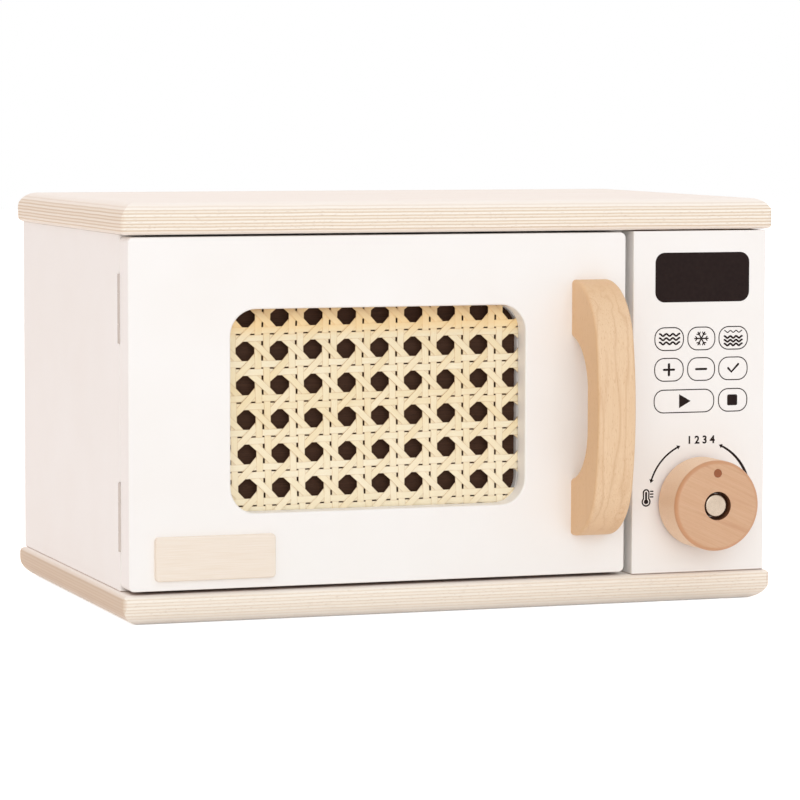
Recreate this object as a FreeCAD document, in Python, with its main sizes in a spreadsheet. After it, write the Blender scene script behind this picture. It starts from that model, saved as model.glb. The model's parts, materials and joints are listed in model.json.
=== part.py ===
import FreeCAD, Part
import math
import os
import re

import Sketcher
from FreeCAD import Placement, Rotation, Vector

# A wooden toy microwave: a swinging door with a cane window, a turning knob and a turntable.
# Millimetres. +X is right, +Y is back and +Z is up, seen from the front. The origin is the middle
# of the bottom board's underside.

SIZES = {
    # The two plywood boards and the painted casing between them
    "width": 315.0,
    "depth": 200.0,
    "height": 189.0,
    "board_thickness": 14.3,
    "top_board_round": 8.6,
    "bottom_board_round": 10.5,
    "board_edge_round": 3.4,
    "board_corner_round": 3.0,
    "side_overhang": 3.2,
    "front_setback": 1.2,
    "side_thickness": 12.0,
    "partition_thickness": 15.0,
    "back_thickness": 6.0,
    "back_lap": 7.0,
    "back_fit": 0.2,
    "panel_round": 0.5,
    "control_width": 66.8,
    "control_thickness": 15.0,
    "control_top_gap": 0.5,
    # Dowels and screws that hold the casing together
    "hole_clearance": 0.05,
    "dowel_radius": 3.0,
    "dowel_in_board": 9.0,
    "dowel_in_panel": 15.0,
    "fixing_inset": 30.0,
    "control_fixing_inset": 18.0,
    "base_screw_head": 3.2,
    "base_screw_shank": 1.7,
    "base_screw_length": 40.0,
    "base_screw_sink": 0.6,
    "base_screw_inset": 9.9,
    "back_screw_head": 2.5,
    "back_screw_shank": 1.3,
    "back_screw_length": 20.0,
    "back_screw_inset": 20.0,
    # The door
    "door_thickness": 15.0,
    "door_seam": 0.4,
    "door_gap": 4.1,
    "door_lap": 8.0,
    "door_top_gap": 1.0,
    "door_bottom_gap": 1.5,
    "door_corner": 2.6,
    "door_round": 0.7,
    # The window in the door, its webbing and what holds it
    "window_left": 47.3,
    "window_right": 49.4,
    "window_sill": 33.5,
    "window_head": 32.6,
    "window_corner": 12.0,
    "window_lip": 9.7,
    "window_lip_round": 1.0,
    "rebate_margin": 8.0,
    "rebate_corner": 6.0,
    "rebate_fit": 0.2,
    "cane_thickness": 1.6,
    "cane_margin": 5.0,
    "cane_pitch_across": 15.93,
    "cane_pitch_up": 15.38,
    "cane_first_column": 9.8,
    "cane_first_row": 11.1,
    "cane_gap_width": 8.9,
    "cane_gap_slant": 8.2,
    "back_board_thickness": 3.0,
    "back_board_margin": 16.0,
    "back_board_corner": 5.0,
    "board_screw_head": 2.4,
    "board_screw_shank": 1.2,
    "board_screw_length": 10.0,
    "board_screw_inset": 4.0,
    # The handle
    "handle_width": 18.5,
    "handle_reach": 33.9,
    "handle_bow": 170.0,
    "handle_flat": 18.6,
    "handle_gap": 18.5,
    "handle_scoop": 24.0,
    "handle_round": 1.8,
    "handle_from_edge": 8.1,
    "handle_rise": 18.1,
    "handle_head": 21.5,
    "handle_screw_head": 3.6,
    "handle_screw_shank": 1.9,
    "handle_screw_length": 32.0,
    # The name plate, which is bare
    "plate_width": 55.9,
    "plate_height": 19.8,
    "plate_thickness": 2.6,
    "plate_corner": 1.8,
    "plate_round": 0.8,
    "plate_left": 11.7,
    "plate_rise": 4.5,
    # The two butt hinges
    "hinge_height": 31.0,
    "hinge_from_end": 32.2,
    "hinge_inset": 0.2,
    "hinge_fit": 0.3,
    "leaf_width": 10.0,
    "leaf_thickness": 0.8,
    "knuckle_radius": 1.0,
    "knuckle_end": 8.5,
    "knuckle_gap": 0.2,
    "pin_radius": 0.55,
    "pin_clearance": 0.03,
    "hinge_screw_head": 1.9,
    "hinge_screw_shank": 1.0,
    "hinge_screw_length": 9.0,
    "hinge_screw_from_pin": 6.0,
    "hinge_screw_spread": 18.0,
    # The magnetic catch
    "magnet_radius": 2.2,
    "magnet_length": 6.0,
    "strike_thickness": 2.0,
    "catch_from_edge": 3.8,
    # The knob and its bolt
    "knob_from_side": 33.4,
    "knob_rise": 33.3,
    "knob_radius": 21.1,
    "knob_depth": 21.8,
    "knob_edge_round": 2.4,
    "counterbore_radius": 6.6,
    "counterbore_depth": 6.6,
    "running_clearance": 0.05,
    "bolt_radius": 3.0,
    "bolt_head_radius": 5.4,
    "bolt_head_height": 4.4,
    "bolt_head_round": 0.9,
    "bolt_tail": 1.5,
    "spring_washer_radius": 5.6,
    "spring_washer_thickness": 0.5,
    "felt_washer_radius": 13.0,
    "felt_washer_thickness": 0.8,
    "back_washer_radius": 6.0,
    "back_washer_thickness": 1.2,
    "nut_radius": 5.8,
    "nut_thickness": 5.0,
    "knob_play": 0.1,
    "pointer_radius": 2.0,
    "pointer_depth": 3.0,
    "pointer_offset": 15.2,
    # The turntable
    "turntable_clearance": 14.6,
    "turntable_thickness": 8.0,
    "turntable_round": 2.0,
    "turntable_recess_radius": 7.5,
    "turntable_recess_depth": 4.0,
    "turntable_play": 0.2,
    "spindle_radius": 2.5,
    "spindle_head_radius": 5.5,
    "spindle_head_height": 2.6,
    "spindle_head_round": 1.6,
    "spindle_in_board": 11.0,
    "spacer_radius": 11.0,
    "spacer_thickness": 2.0,
}

doc = FreeCAD.newDocument("toy_microwave")
sheet = doc.addObject("Spreadsheet::Sheet", "Sizes")
for row, (alias, number) in enumerate(SIZES.items(), start=1):
    sheet.set(f"A{row}", alias)
    sheet.set(f"B{row}", str(number))
    sheet.setAlias(f"B{row}", alias)
doc.recompute()

RIGHTWARD = Vector(1, 0, 0)
BACKWARD = Vector(0, 1, 0)
UPWARD = Vector(0, 0, 1)
TURNS = {
    "up": Rotation(),
    "back": Rotation(RIGHTWARD, -90),
    "front": Rotation(RIGHTWARD, 90),
}
NEAR = 1e-4
nodes = []


# Tools for making pieces from the sheet

def size(alias):
    """A size, as a number."""
    return float(sheet.get(alias))


def bound(formula):
    """A formula in which every size's name points at its cell."""
    return re.sub(r"[a-z_]+", lambda word: f"Sizes.{word[0]}" if word[0] in SIZES else word[0], formula)


def bind(thing, **formulas):
    """Ties properties of a thing to formulas of the sizes."""
    for name, formula in formulas.items():
        thing.setExpression(name, bound(formula))
    return thing


def place(thing, spot, turn="up"):
    """Turns a thing and puts its own origin at a spot, given as three formulas."""
    thing.Placement = Placement(Vector(), TURNS[turn])
    for axis, formula in zip("xyz", spot):
        thing.setExpression(f"Placement.Base.{axis}", bound(formula))
    return thing


def named(thing, label):
    """Names a finished piece and lists it for writing."""
    thing.Label = label
    nodes.append(thing)
    return thing


def block(spot, length, width, height):
    """A box from its lowest corner."""
    thing = doc.addObject("Part::Box", "Block")
    bind(thing, Length=length, Width=width, Height=height)
    return place(thing, spot)


def rod(spot, radius, length, turn="up"):
    """A cylinder from the middle of one end."""
    thing = doc.addObject("Part::Cylinder", "Rod")
    bind(thing, Radius=radius, Height=length)
    return place(thing, spot, turn)


def joined(things):
    thing = doc.addObject("Part::MultiFuse", "Joined")
    thing.Shapes = things
    return thing


def shared(things):
    """What several solids have in common."""
    thing = doc.addObject("Part::MultiCommon", "Shared")
    thing.Shapes = things
    return thing


def grouped(things):
    """Separate solids that share one node."""
    thing = doc.addObject("Part::Compound", "Group")
    thing.Links = things
    return thing


def cut(base, tools):
    thing = doc.addObject("Part::Cut", "Cut")
    thing.Base = base
    thing.Tool = tools[0] if len(tools) == 1 else joined(tools)
    return thing


def runs_along(edge, direction):
    """Whether an edge is a straight one along a direction."""
    if not isinstance(edge.Curve, Part.Line):
        return False
    return abs(edge.tangentAt(edge.FirstParameter).dot(direction)) > 1 - NEAR


def rounded(base, *choices):
    """Rounds edges of a solid. Each choice is a radius and a test that says which edges get it."""
    doc.recompute()
    edges = []
    for alias, wanted in choices:
        for index, edge in enumerate(base.Shape.Edges, start=1):
            if wanted(edge):
                edges.append((index, size(alias), size(alias)))
    thing = doc.addObject("Part::Fillet", "Rounded")
    thing.Base = base
    thing.Edges = edges
    return thing


def every_edge(edge):
    return True


def sketch_on(body, role):
    """An empty sketch on one of a body's own origin planes."""
    sketch = body.newObject("Sketcher::SketchObject", f"{body.Name}_outline")
    plane = next(feature for feature in body.Origin.OriginFeatures if feature.Role == role)
    sketch.AttachmentSupport = [(plane, "")]
    sketch.MapMode = "FlatFace"
    return sketch


def polygon(sketch, corners):
    """A closed outline of straight lines, with each corner tied to two formulas."""
    count = len(corners)
    for index in range(count):
        start = Rotation(UPWARD, 360 * index / count).multVec(Vector(10, 0, 0))
        end = Rotation(UPWARD, 360 * (index + 1) / count).multVec(Vector(10, 0, 0))
        sketch.addGeometry(Part.LineSegment(start, end))
    for index in range(count):
        sketch.addConstraint(Sketcher.Constraint("Coincident", index, 2, (index + 1) % count, 1))
    for index, (across, along) in enumerate(corners):
        for kind, formula, axis in (("DistanceX", across, -2), ("DistanceY", along, -1)):
            if formula == "0":
                sketch.addConstraint(Sketcher.Constraint("PointOnObject", index, 1, axis))
            else:
                rule = sketch.addConstraint(Sketcher.Constraint(kind, -1, 1, index, 1, 10.0))
                sketch.setExpression(f"Constraints[{rule}]", bound(formula))


def rims_of(shape):
    """The numbers of a turned solid's widest rims, the lowest first."""
    circles = [
        (edge.Curve.Center.z, f"Edge{index}", edge.Curve.Radius)
        for index, edge in enumerate(shape.Edges, start=1)
        if isinstance(edge.Curve, Part.Circle)
    ]
    widest = max(radius for height, name, radius in circles)
    return [name for height, name, radius in sorted(circles) if radius > widest - NEAR]


def turned(label, corners, spot, turn, round_alias, top_only=False):
    """A turned piece: an outline of radii and heights, spun round, with its widest rims rounded."""
    body = doc.addObject("PartDesign::Body", label)
    sketch = sketch_on(body, "XZ_Plane")
    polygon(sketch, corners)
    spun = body.newObject("PartDesign::Revolution", f"{label}_spun")
    spun.Profile = sketch
    spun.ReferenceAxis = (sketch, ["V_Axis"])
    spun.Angle = 360
    doc.recompute()
    softened = body.newObject("PartDesign::Fillet", f"{label}_rims")
    rims = rims_of(spun.Shape)
    softened.Base = (spun, rims[-1:] if top_only else rims)
    bind(softened, Radius=round_alias)
    body.Tip = softened
    return place(body, spot, turn)


def screw(kind, spot, turn, clearance="0"):
    """A countersunk screw from the middle of its flush head, or the hole that takes it."""
    head = doc.addObject("Part::Cone", "Head")
    bind(
        head,
        Radius1=f"{kind}_head + {clearance}",
        Radius2=f"{kind}_shank + {clearance}",
        Height=f"{kind}_head - {kind}_shank",
    )
    place(head, spot, turn)
    return joined([head, rod(spot, f"{kind}_shank + {clearance}", f"{kind}_length", turn)])


def ring(spot, outer, inner, thickness, turn):
    """A flat washer from the middle of one face."""
    return cut(rod(spot, outer, thickness, turn), [rod(spot, inner, thickness, turn)])


# Places that several pieces share

left = "(side_overhang - width / 2)"
right = "(width / 2 - side_overhang)"
floor = "board_thickness"
ceiling = "(height - board_thickness)"
middle = "(height / 2)"
inner_height = f"({ceiling} - {floor})"
door_front = "(front_setback - depth / 2)"
door_back = f"({door_front} + door_thickness)"
casing_front = f"({door_back} + door_seam)"
casing_back = "(depth / 2)"
back_front = f"({casing_back} - back_thickness)"
control_left = f"({right} - control_width)"
control_front = f"({casing_front} - control_thickness)"
door_right = f"({control_left} - door_gap)"
door_width = f"({door_right} - {left})"
door_bottom = f"({floor} + door_bottom_gap)"
door_height = f"({inner_height} - door_top_gap - door_bottom_gap)"
partition_left = f"({door_right} - door_lap)"
hinge_x = f"({left} + hinge_inset)"
hinge_y = f"({door_back} + door_seam / 2)"


# The boards' and panels' fixings: dowels above, screws below

fixing_front = f"({casing_front} + fixing_inset)"
fixing_back = f"({back_front} - fixing_inset)"
control_fixing_y = f"({control_front} + control_thickness / 2)"


def side_fixings(x):
    return [(x, fixing_front), (x, fixing_back)]


fixings = {
    "left": side_fixings(f"({left} + side_thickness / 2)"),
    "right": side_fixings(f"({right} - side_thickness / 2)"),
    "partition": side_fixings(f"({partition_left} + partition_thickness / 2)"),
    "control": [
        (f"({control_left} + control_fixing_inset)", control_fixing_y),
        (f"({right} - control_fixing_inset)", control_fixing_y),
    ],
}
screw_fixings = {
    "left": side_fixings(f"({left} + base_screw_inset)"),
    "right": side_fixings(f"({right} - base_screw_inset)"),
    "partition": fixings["partition"],
    "control": [(x, f"({control_front} + base_screw_inset)") for x, y in fixings["control"]],
}
dowel_spots = [spot for spots in fixings.values() for spot in spots]
base_screw_spots = [spot for spots in screw_fixings.values() for spot in spots]


def dowel(spot, clearance="0"):
    start = (*spot, f"{ceiling} - dowel_in_panel")
    return rod(start, f"dowel_radius + {clearance}", "dowel_in_panel + dowel_in_board")


def base_screw(spot, clearance="0"):
    return screw("base_screw", (*spot, "base_screw_sink"), "up", clearance)


def base_screw_hole(spot):
    """A screw's hole in the board, with the head sunk clear of the rest face."""
    sink = rod((*spot, "0"), "base_screw_head + hole_clearance", "base_screw_sink")
    return joined([sink, base_screw(spot, "hole_clearance")])


named(grouped([dowel(spot) for spot in dowel_spots]), "top_board_dowels")
named(grouped([base_screw(spot) for spot in base_screw_spots]), "bottom_board_screws")


def fixing_holes(panel):
    """The dowel and screw holes in one panel."""
    holes = [dowel(spot, "hole_clearance") for spot in fixings[panel]]
    return holes + [base_screw(spot, "hole_clearance") for spot in screw_fixings[panel]]


# Top and bottom boards: plywood, with a wide round on the outer edges and a small one on the inner

def plywood_board(lowest, outer_round, round_is_up):
    """One board. Its edges are rounded before its corners, as a router goes round a board."""
    spot = ("-width / 2", "-depth / 2", lowest)

    def blank():
        return block(spot, "width", "depth", "board_thickness")

    def edges_rounded(direction):
        def is_outer(edge):
            return runs_along(edge, direction) and (edge.CenterOfMass.z > edge_middle) == round_is_up

        def is_inner(edge):
            return runs_along(edge, direction) and (edge.CenterOfMass.z > edge_middle) != round_is_up

        board = blank()
        doc.recompute()
        edge_middle = board.Shape.CenterOfMass.z
        return rounded(board, (outer_round, is_outer), ("board_edge_round", is_inner))

    corners = rounded(blank(), ("board_corner_round", lambda edge: runs_along(edge, UPWARD)))
    return shared([edges_rounded(RIGHTWARD), edges_rounded(BACKWARD), corners])


# The turntable's screw goes into the bottom board, in the middle of the oven

oven_left = f"({left} + side_thickness)"
oven_x = f"(({oven_left} + {partition_left}) / 2)"
oven_y = f"(({casing_front} + {back_front}) / 2)"
spindle_foot = (oven_x, oven_y, f"{floor} - spindle_in_board")


def spindle_hole():
    return rod(spindle_foot, "spindle_radius + hole_clearance", "spindle_in_board")


named(
    cut(
        plywood_board(ceiling, "top_board_round", True),
        [dowel(spot, "hole_clearance") for spot in dowel_spots],
    ),
    "top_board",
)
named(
    cut(
        plywood_board("0", "bottom_board_round", False),
        [base_screw_hole(spot) for spot in base_screw_spots] + [spindle_hole()],
    ),
    "bottom_board",
)


# Hinge places, and the cuts that let a hinge into the door and the side panel

hinge_middles = {
    "upper": f"({door_bottom} + {door_height} - hinge_from_end)",
    "lower": f"({door_bottom} + hinge_from_end)",
}


def hinge_screw_spots(y):
    """The four screws of one side of both hinges."""
    x = f"{hinge_x} + hinge_screw_from_pin"
    spots = []
    for spot_z in hinge_middles.values():
        spots.append((x, y, f"{spot_z} - hinge_screw_spread / 2"))
        spots.append((x, y, f"{spot_z} + hinge_screw_spread / 2"))
    return spots


def hinge_seats(leaf_y):
    """The mortises for the leaves and the hollows for the knuckles."""
    tools = []
    for spot_z in hinge_middles.values():
        lowest = f"{spot_z} - hinge_height / 2 - hinge_fit"
        tall = "hinge_height + 2 * hinge_fit"
        length = "hinge_inset + leaf_width + hinge_fit"
        tools.append(block((left, leaf_y, lowest), length, "leaf_thickness", tall))
        tools.append(rod((hinge_x, hinge_y, lowest), "knuckle_radius + hinge_fit", tall))
    return tools


side_leaf_y = casing_front
door_leaf_y = f"({door_back} - leaf_thickness)"
side_hinge_screws = hinge_screw_spots(casing_front)
door_hinge_screws = hinge_screw_spots(door_back)


# Screws of the back panel, in both sides and the partition

back_screw_columns = [
    f"{left} + side_thickness - back_lap / 2",
    f"{partition_left} + partition_thickness / 2",
    f"{right} - side_thickness + back_lap / 2",
]
back_screw_rows = [f"{floor} + back_screw_inset", middle, f"{ceiling} - back_screw_inset"]


def back_screws(columns, clearance="0"):
    spots = [(x, casing_back, z) for x in columns for z in back_screw_rows]
    return [screw("back_screw", spot, "front", clearance) for spot in spots]


# Left and right side panels: painted, with a rebate at the back for the back panel

def side_panel(outer_left, rebate_left, extra_tools):
    spot = (outer_left, casing_front, floor)
    blank = block(spot, "side_thickness", f"{casing_back} - {casing_front}", inner_height)
    rebate = block((rebate_left, back_front, floor), "back_lap", "back_thickness", inner_height)
    return cut(rounded(blank, ("panel_round", every_edge)), [rebate] + extra_tools)


left_tools = fixing_holes("left") + back_screws(back_screw_columns[:1], "hole_clearance")
left_tools += hinge_seats(side_leaf_y)
left_tools += [screw("hinge_screw", spot, "back", "hole_clearance") for spot in side_hinge_screws]
named(side_panel(left, f"{left} + side_thickness - back_lap", left_tools), "left_side_panel")

right_tools = fixing_holes("right") + back_screws(back_screw_columns[2:], "hole_clearance")
right_outer = f"({right} - side_thickness)"
named(side_panel(right_outer, right_outer, right_tools), "right_side_panel")


# Back panel: a thin board in the sides' rebates

back_panel_left = f"{left} + side_thickness - back_lap + back_fit"
back_panel_width = f"{right} - {left} - 2 * (side_thickness - back_lap + back_fit)"
back_blank = block((back_panel_left, back_front, floor), back_panel_width, "back_thickness", inner_height)
named(cut(back_blank, back_screws(back_screw_columns, "hole_clearance")), "back_panel")
named(grouped(back_screws(back_screw_columns)), "back_panel_screws")


# Partition between the oven and the control space, with the door's magnet in its front edge

catch_x = f"({partition_left} + catch_from_edge)"


def magnet(clearance="0"):
    return rod((catch_x, casing_front, middle), f"magnet_radius + {clearance}", "magnet_length", "back")


partition_blank = rounded(
    block(
        (partition_left, casing_front, floor),
        "partition_thickness",
        f"{back_front} - {casing_front}",
        inner_height,
    ),
    ("panel_round", every_edge),
)
partition_tools = fixing_holes("partition") + back_screws(back_screw_columns[1:2], "hole_clearance")
named(cut(partition_blank, partition_tools + [magnet("hole_clearance")]), "partition_panel")
named(magnet(), "door_magnet")


# Control panel: painted, with the knob's bolt through it

knob_x = f"({right} - knob_from_side)"
knob_z = f"({floor} + knob_rise)"
control_blank = rounded(
    block(
        (control_left, control_front, floor),
        "control_width",
        "control_thickness",
        f"{inner_height} - control_top_gap",
    ),
    ("panel_round", every_edge),
)
bolt_hole = rod((knob_x, control_front, knob_z), "bolt_radius + hole_clearance", "control_thickness", "back")
named(cut(control_blank, fixing_holes("control") + [bolt_hole]), "control_panel")


# Door panel: painted, with a window that has a lip in front and a rebate behind

window_x = f"({left} + window_left)"
window_z = f"({door_bottom} + window_sill)"
window_width = f"({door_width} - window_left - window_right)"
window_height = f"({door_height} - window_sill - window_head)"
lip_back = f"({door_front} + window_lip)"


def framed(margin, y, thickness, corner):
    """A plate round the window, wider than it by a margin, with round corners."""
    plate = block(
        (f"{window_x} - {margin}", y, f"{window_z} - {margin}"),
        f"{window_width} + 2 * {margin}",
        thickness,
        f"{window_height} + 2 * {margin}",
    )
    return rounded(plate, (corner, lambda edge: runs_along(edge, BACKWARD)))


def board_screw_spots():
    """Screws along the top and bottom of the board behind the window."""
    reach = "(back_board_margin - board_screw_inset)"
    columns = [
        f"{window_x} - {reach}",
        f"{window_x} + {window_width} / 2",
        f"{window_x} + {window_width} + {reach}",
    ]
    rows = [f"{window_z} - {reach}", f"{window_z} + {window_height} + {reach}"]
    return [(x, f"{door_back} + back_board_thickness", z) for x in columns for z in rows]


handle_left = f"({door_right} - handle_from_edge - handle_width)"
handle_bottom = f"({door_bottom} + handle_rise)"
handle_height = f"({door_height} - handle_rise - handle_head)"
scoop_run = "sqrt(handle_scoop ^ 2 - (handle_scoop - handle_gap) ^ 2)"
handle_foot = f"(({handle_height} - handle_flat) / 2 - {scoop_run})"
handle_screw_x = f"{handle_left} + handle_width / 2"
handle_screw_spots = [
    (handle_screw_x, door_back, f"{handle_bottom} + {handle_foot} / 2"),
    (handle_screw_x, door_back, f"{handle_bottom} + {handle_height} - {handle_foot} / 2"),
]
strike_spot = (catch_x, door_back, middle)


def strike(clearance="0"):
    return rod(strike_spot, f"magnet_radius + {clearance}", "strike_thickness", "front")


door_sheet = block((left, door_front, door_bottom), door_width, "door_thickness", door_height)
door_cornered = rounded(door_sheet, ("door_corner", lambda edge: runs_along(edge, BACKWARD)))
door_blank = rounded(door_cornered, ("door_round", lambda edge: not runs_along(edge, BACKWARD)))
window_tool = framed("0", door_front, "door_thickness", "window_corner")
door_opening = cut(door_blank, [window_tool])
doc.recompute()
window_box = window_tool.Shape.BoundBox
window_box.enlarge(NEAR)


def is_window_edge(edge):
    """Whether an edge is one of the window's own, in the door's front face."""
    return window_box.isInside(edge.BoundBox) and edge.BoundBox.YMax < window_box.YMin + 2 * NEAR


door_tools = [framed("rebate_margin", lip_back, f"{door_back} - {lip_back}", "rebate_corner")]
door_tools += hinge_seats(door_leaf_y)
door_tools += [screw("hinge_screw", spot, "front", "hole_clearance") for spot in door_hinge_screws]
door_tools += [screw("board_screw", spot, "front", "hole_clearance") for spot in board_screw_spots()]
door_tools += [screw("handle_screw", spot, "front", "hole_clearance") for spot in handle_screw_spots]
door_tools += [strike("hole_clearance")]
named(cut(rounded(door_opening, ("window_lip_round", is_window_edge)), door_tools), "door_panel")
named(strike(), "door_strike")


# Cane webbing: a flat net with octagonal gaps, pressed against the lip by a bead frame

def octagon(middle_x, middle_z):
    """The outline of one gap: its flats are wider apart than its slants."""
    half = size("cane_gap_width") / 2
    short = size("cane_gap_slant") * math.sqrt(2) / 2 - half
    corners = [(half, short), (short, half), (-short, half), (-half, short)]
    corners += [(-x, -z) for x, z in corners]
    points = [Vector(middle_x + x, 0, middle_z + z) for x, z in corners]
    return Part.makePolygon(points + points[:1])


def cane_net():
    """One face with a gap wherever the weave has one inside the window, made thick."""
    margin = size("cane_margin")
    window_across = window_tool.Shape.BoundBox.XLength
    window_tall = window_tool.Shape.BoundBox.ZLength
    across = window_across + 2 * margin
    tall = window_tall + 2 * margin
    columns = 1 + int((window_across - size("cane_first_column")) / size("cane_pitch_across"))
    rows = 1 + int((window_tall - size("cane_first_row")) / size("cane_pitch_up"))
    corners = [(0, 0), (across, 0), (across, tall), (0, tall), (0, 0)]
    outline = Part.makePolygon([Vector(x, 0, z) for x, z in corners])
    gaps = []
    for column in range(columns):
        for row in range(rows):
            x = margin + size("cane_first_column") + column * size("cane_pitch_across")
            z = margin + size("cane_first_row") + row * size("cane_pitch_up")
            gaps.append(octagon(x, z))
    net = Part.makeFace([outline] + gaps, "Part::FaceMakerCheese")
    return net.extrude(Vector(0, size("cane_thickness"), 0))


cane_webbing = doc.addObject("Part::Feature", "cane_webbing")
cane_webbing.Shape = cane_net()
cane_spot = (f"{window_x} - cane_margin", lip_back, f"{window_z} - cane_margin")
named(place(cane_webbing, cane_spot), "cane_webbing")

bead_y = f"({lip_back} + cane_thickness)"
bead_thickness = f"({door_back} - {bead_y})"
named(
    cut(
        framed("(rebate_margin - rebate_fit)", bead_y, bead_thickness, "rebate_corner"),
        [framed("0", bead_y, bead_thickness, "window_corner")],
    ),
    "window_bead_frame",
)


# Dark board behind the window, screwed to the back of the door

board_screws = [screw("board_screw", spot, "front") for spot in board_screw_spots()]
board_holes = [screw("board_screw", spot, "front", "hole_clearance") for spot in board_screw_spots()]
named(
    cut(framed("back_board_margin", door_back, "back_board_thickness", "back_board_corner"), board_holes),
    "window_back_board",
)
named(grouped(board_screws), "back_board_screws")


# Handle: a bow of beech with a scooped finger gap, held by two screws through the door

def handle_outline(sketch):
    """The bow seen from the side: a shallow arc between round ends outside, a scoop with a flat floor inside."""
    reach = size("handle_reach")
    bow = size("handle_bow")
    gap = size("handle_gap")
    scoop = size("handle_scoop")
    tall = size("height") - 2 * size("board_thickness")
    tall -= size("door_top_gap") + size("door_bottom_gap")
    tall -= size("handle_rise") + size("handle_head")
    low_turn = (tall - size("handle_flat")) / 2
    high_turn = (tall + size("handle_flat")) / 2
    foot = low_turn - math.sqrt(scoop**2 - (scoop - gap) ** 2)
    scoop_middle = scoop - gap
    scoop_start = math.acos(-scoop_middle / scoop)
    bow_middle = bow - reach
    round_end = (bow**2 - bow_middle**2 - tall**2 / 4) / (2 * bow - tall)
    spread = math.atan2(tall / 2 - round_end, bow_middle)

    def arc(x, y, radius, start, end):
        return Part.ArcOfCircle(Part.Circle(Vector(x, y, 0), UPWARD, radius), start, end)

    def line(x_start, y_start, x_end, y_end):
        return Part.LineSegment(Vector(x_start, y_start, 0), Vector(x_end, y_end, 0))

    low_arc, outer_arc, high_arc, high_foot, high_scoop, floor_line, low_scoop, low_foot = range(8)
    sketch.addGeometry(arc(0, round_end, round_end, math.pi + spread, 1.5 * math.pi))
    sketch.addGeometry(arc(bow_middle, tall / 2, bow, math.pi - spread, math.pi + spread))
    sketch.addGeometry(arc(0, tall - round_end, round_end, 0.5 * math.pi, math.pi - spread))
    sketch.addGeometry(line(0, tall, 0, tall - foot))
    sketch.addGeometry(arc(scoop_middle, high_turn, scoop, scoop_start, math.pi))
    sketch.addGeometry(line(-gap, high_turn, -gap, low_turn))
    sketch.addGeometry(arc(scoop_middle, low_turn, scoop, math.pi, 2 * math.pi - scoop_start))
    sketch.addGeometry(line(0, foot, 0, 0))

    start, end, centre = 1, 2, 3
    origin = (-1, 1)
    upright_axis = -2

    def rule(kind, *parts):
        return sketch.addConstraint(Sketcher.Constraint(kind, *parts))

    def measured(formula, kind, *parts):
        sketch.setExpression(f"Constraints[{rule(kind, *parts)}]", bound(formula))

    rule("Coincident", low_arc, end, *origin)
    rule("Coincident", low_foot, end, *origin)
    rule("Coincident", high_arc, start, high_foot, start)
    rule("Coincident", high_foot, end, high_scoop, start)
    rule("Coincident", low_scoop, end, low_foot, start)
    for geometry, point in ((low_arc, centre), (high_arc, centre), (high_foot, start), (high_foot, end)):
        rule("PointOnObject", geometry, point, upright_axis)
    rule("PointOnObject", low_foot, start, upright_axis)
    rule("Tangent", low_arc, start, outer_arc, end)
    rule("Tangent", outer_arc, start, high_arc, end)
    rule("Tangent", high_scoop, end, floor_line, start)
    rule("Tangent", floor_line, end, low_scoop, start)
    rule("Equal", low_arc, high_arc)
    rule("Vertical", floor_line)
    measured("handle_bow", "Radius", outer_arc, bow)
    measured("handle_bow - handle_reach", "DistanceX", *origin, outer_arc, centre, bow_middle)
    measured("handle_scoop", "Radius", high_scoop, scoop)
    measured("handle_scoop", "Radius", low_scoop, scoop)
    measured(handle_height, "DistanceY", *origin, high_foot, start, tall)
    measured(handle_foot, "DistanceY", high_foot, end, high_foot, start, foot)
    measured(handle_foot, "DistanceY", *origin, low_foot, start, foot)
    measured("handle_gap", "DistanceX", floor_line, start, *origin, gap)


def is_handle_arris(edge):
    """Whether an edge is along one side of the bow, away from the door's face."""
    box = edge.BoundBox
    flat = box.XLength < NEAR
    return flat and box.YMin < -NEAR


handle_body = doc.addObject("PartDesign::Body", "handle_bow")
handle_sketch = sketch_on(handle_body, "YZ_Plane")
handle_outline(handle_sketch)
handle_pad = handle_body.newObject("PartDesign::Pad", "handle_pad")
handle_pad.Profile = handle_sketch
bind(handle_pad, Length="handle_width")
doc.recompute()
handle_fillet = handle_body.newObject("PartDesign::Fillet", "handle_fillet")
handle_edges = enumerate(handle_pad.Shape.Edges, start=1)
handle_fillet.Base = (handle_pad, [f"Edge{index}" for index, edge in handle_edges if is_handle_arris(edge)])
bind(handle_fillet, Radius="handle_round")
handle_body.Tip = handle_fillet
place(handle_body, (handle_left, door_front, handle_bottom))
named(
    cut(handle_body, [screw("handle_screw", spot, "front", "hole_clearance") for spot in handle_screw_spots]),
    "door_handle",
)
named(grouped([screw("handle_screw", spot, "front") for spot in handle_screw_spots]), "handle_screws")


# Name plate: a small bare plate glued to the door's lower left

plate_blank = block(
    (f"{left} + plate_left", f"{door_front} - plate_thickness", f"{door_bottom} + plate_rise"),
    "plate_width",
    "plate_thickness",
    "plate_height",
)
plate_cornered = rounded(plate_blank, ("plate_corner", lambda edge: runs_along(edge, BACKWARD)))


def is_plate_front(edge):
    front = size("front_setback") - size("depth") / 2 - size("plate_thickness")
    return edge.BoundBox.YMax < front + NEAR


named(rounded(plate_cornered, ("plate_round", is_plate_front)), "name_plate")


# Hinges: each has a leaf on the casing with two end knuckles, a leaf on the door with the middle
# knuckle, and a pin through all three

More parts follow.
